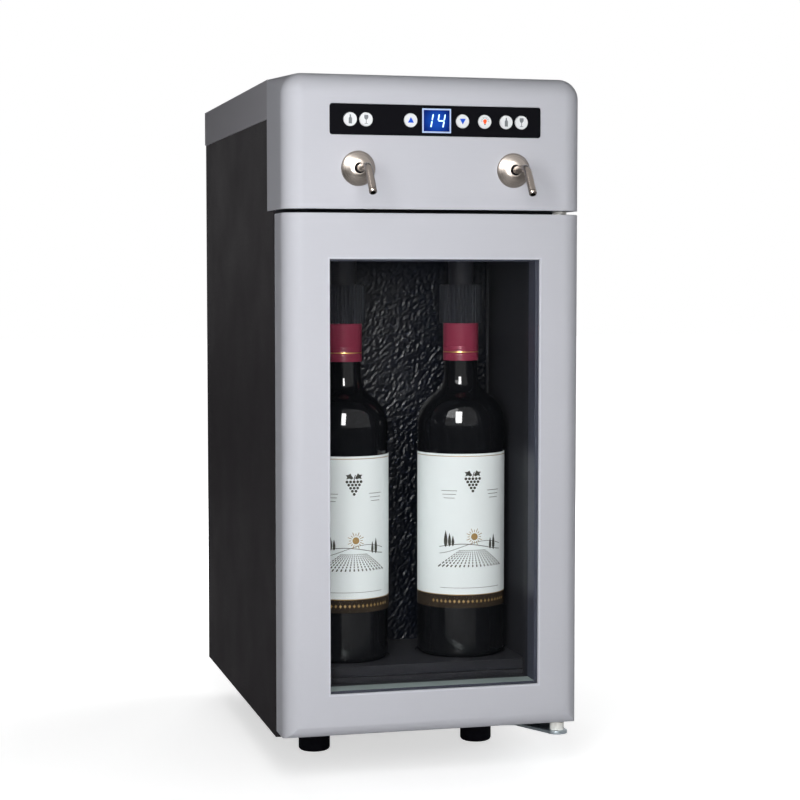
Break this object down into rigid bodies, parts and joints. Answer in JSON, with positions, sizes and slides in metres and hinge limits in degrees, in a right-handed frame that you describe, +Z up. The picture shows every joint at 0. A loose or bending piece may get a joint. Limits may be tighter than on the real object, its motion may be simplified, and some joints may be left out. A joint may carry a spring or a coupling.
{
  "type": "wine preservation dispenser",
  "caption": "Countertop wine dispenser: a cooled cabinet with a glazed door, pouring spouts, push buttons, and an inert gas supply that keeps opened bottles fresh.",
  "frame": {"origin": "centre of the footprint box on the surface that the feet stand on", "axes": "+Z up, -Y to the front where the spouts and the door are, +X to the right seen from the front"},
  "size_m": [0.254, 0.4666, 0.585],
  "materials": {
    "silver_lacquer": "satin silver lacquer over a moulded front",
    "grey_cover": "satin grey lacquer",
    "black_steel": "fine textured black powder coat",
    "galvanised_steel": "galvanised sheet",
    "zinc_steel": "bright zinc plate",
    "black_liner": "moulded black plastic",
    "foam": "rigid foam",
    "embossed_plate": "pebble embossed black sheet",
    "black_rubber": "moulded rubber",
    "clear_glass": "clear float glass",
    "spacer_alloy": "satin alloy spacer",
    "white_nylon": "moulded nylon",
    "gloss_black": "polished black",
    "display_white": "back-lit white border",
    "display_blue": "back-lit blue screen",
    "button_white": "white button cap",
    "board_green": "circuit board",
    "satin_nickel": "satin nickel",
    "brass": "turned brass",
    "ribbed_black": "ribbed black plastic",
    "silicone": "clear silicone",
    "stainless": "drawn stainless tube",
    "valve_grey": "moulded valve body",
    "bottle_glass": "dark green bottle glass",
    "burgundy_foil": "lacquered foil capsule",
    "label_paper": "laid paper",
    "lamp_diffuser": "opal lamp cover",
    "aluminium": "extruded aluminium",
    "fan_black": "moulded fan plastic",
    "canister_paint": "grey painted canister",
    "gas_blue": "blue gas hose with alloy valves",
    "supply_case": "perforated supply case"
  },
  "bodies": {
    "cabinet": {"control_hood": "silver_lacquer", "top_cover": "grey_cover", "base_plate": "black_steel", "left_side_panel": "black_steel", "right_side_panel": "black_steel", "rear_cover": "black_steel", "service_shelf": "galvanised_steel", "hatch_pins": "zinc_steel", "foot_screws": "zinc_steel", "lower_hinge_bracket": "zinc_steel", "upper_hinge_bracket": "zinc_steel", "inner_liner": "black_liner", "bottle_tray": "black_liner", "docks": "black_liner", "insulation": "foam", "cold_plate": "embossed_plate", "feet": "black_rubber", "spout_grommets": "black_rubber", "control_strip": "gloss_black", "display_frame": "display_white", "display_screen": "display_blue", "control_board": "board_green", "spout_domes": "satin_nickel", "spout_nuts": "brass", "gas_regulator": "brass", "bottle_heads": "ribbed_black", "head_seals": "silicone", "wine_hoses": "silicone", "draw_tubes": "stainless", "wine_valves": "valve_grey", "left_bottle": "bottle_glass", "right_bottle": "bottle_glass", "capsules": "burgundy_foil", "labels": "label_paper", "cabin_lamp": "lamp_diffuser", "cooling_block": "aluminium", "heat_sink": "aluminium", "fan_housing": "fan_black", "gas_canister": "canister_paint", "gas_lines": "gas_blue", "power_unit": "supply_case"},
    "door": {"door_frame": "silver_lacquer", "door_inner_frame": "black_liner", "outer_pane": "clear_glass", "pane_spacer": "spacer_alloy", "inner_pane": "clear_glass", "door_gasket": "black_rubber", "hinge_bushes": "white_nylon"},
    "rear_hatch": {"rear_hatch": "black_steel"},
    "left_spout": {"left_spout": "satin_nickel"},
    "right_spout": {"right_spout": "satin_nickel"},
    "fan_rotor": {"fan_rotor": "fan_black"},
    "regulator_knob": {"regulator_knob": "ribbed_black"},
    "left_bottle_button": {"left_bottle_button": "button_white"},
    "left_glass_button": {"left_glass_button": "button_white"},
    "up_button": {"up_button": "button_white"},
    "down_button": {"down_button": "button_white"},
    "lamp_button": {"lamp_button": "button_white"},
    "right_bottle_button": {"right_bottle_button": "button_white"},
    "right_glass_button": {"right_glass_button": "button_white"}
  },
  "joints": [
    {"name": "door_hinge", "type": "hinge", "parent": "cabinet", "child": "door", "pos_m": [0.1125, -0.16068, 0.256], "axis": [0, 0, 1], "range_deg": [0, 110]},
    {"name": "hatch_hinge", "type": "hinge", "parent": "cabinet", "child": "rear_hatch", "pos_m": [-0.118, 0.22932, 0.233], "axis": [0, 0, 1], "range_deg": [0, 110]},
    {"name": "left_spout_swivel", "type": "hinge", "parent": "cabinet", "child": "left_spout", "pos_m": [-0.066, -0.17868, 0.5078], "axis": [0, 1, 0], "range_deg": [-30, 30]},
    {"name": "right_spout_swivel", "type": "hinge", "parent": "cabinet", "child": "right_spout", "pos_m": [0.066, -0.17868, 0.5078], "axis": [0, 1, 0], "range_deg": [-30, 30]},
    {"name": "fan_spin", "type": "hinge", "parent": "cabinet", "child": "fan_rotor", "pos_m": [0, 0.07432, 0.2616], "axis": [0, 1, 0], "continuous": true},
    {"name": "regulator_turn", "type": "hinge", "parent": "cabinet", "child": "regulator_knob", "pos_m": [-0.062, 0.14932, 0.3435], "axis": [0, 0, 1], "range_deg": [0, 270]},
    {"name": "left_bottle_button_press", "type": "slide", "parent": "cabinet", "child": "left_bottle_button", "axis": [0, 1, 0], "range_m": [0, 0.0008], "stiffness_N_per_m": 700, "springref_m": -0.0006},
    {"name": "left_glass_button_press", "type": "slide", "parent": "cabinet", "child": "left_glass_button", "axis": [0, 1, 0], "range_m": [0, 0.0008], "stiffness_N_per_m": 700, "springref_m": -0.0006},
    {"name": "up_button_press", "type": "slide", "parent": "cabinet", "child": "up_button", "axis": [0, 1, 0], "range_m": [0, 0.0008], "stiffness_N_per_m": 700, "springref_m": -0.0006},
    {"name": "down_button_press", "type": "slide", "parent": "cabinet", "child": "down_button", "axis": [0, 1, 0], "range_m": [0, 0.0008], "stiffness_N_per_m": 700, "springref_m": -0.0006},
    {"name": "lamp_button_press", "type": "slide", "parent": "cabinet", "child": "lamp_button", "axis": [0, 1, 0], "range_m": [0, 0.0008], "stiffness_N_per_m": 700, "springref_m": -0.0006},
    {"name": "right_bottle_button_press", "type": "slide", "parent": "cabinet", "child": "right_bottle_button", "axis": [0, 1, 0], "range_m": [0, 0.0008], "stiffness_N_per_m": 700, "springref_m": -0.0006},
    {"name": "right_glass_button_press", "type": "slide", "parent": "cabinet", "child": "right_glass_button", "axis": [0, 1, 0], "range_m": [0, 0.0008], "stiffness_N_per_m": 700, "springref_m": -0.0006}
  ]
}
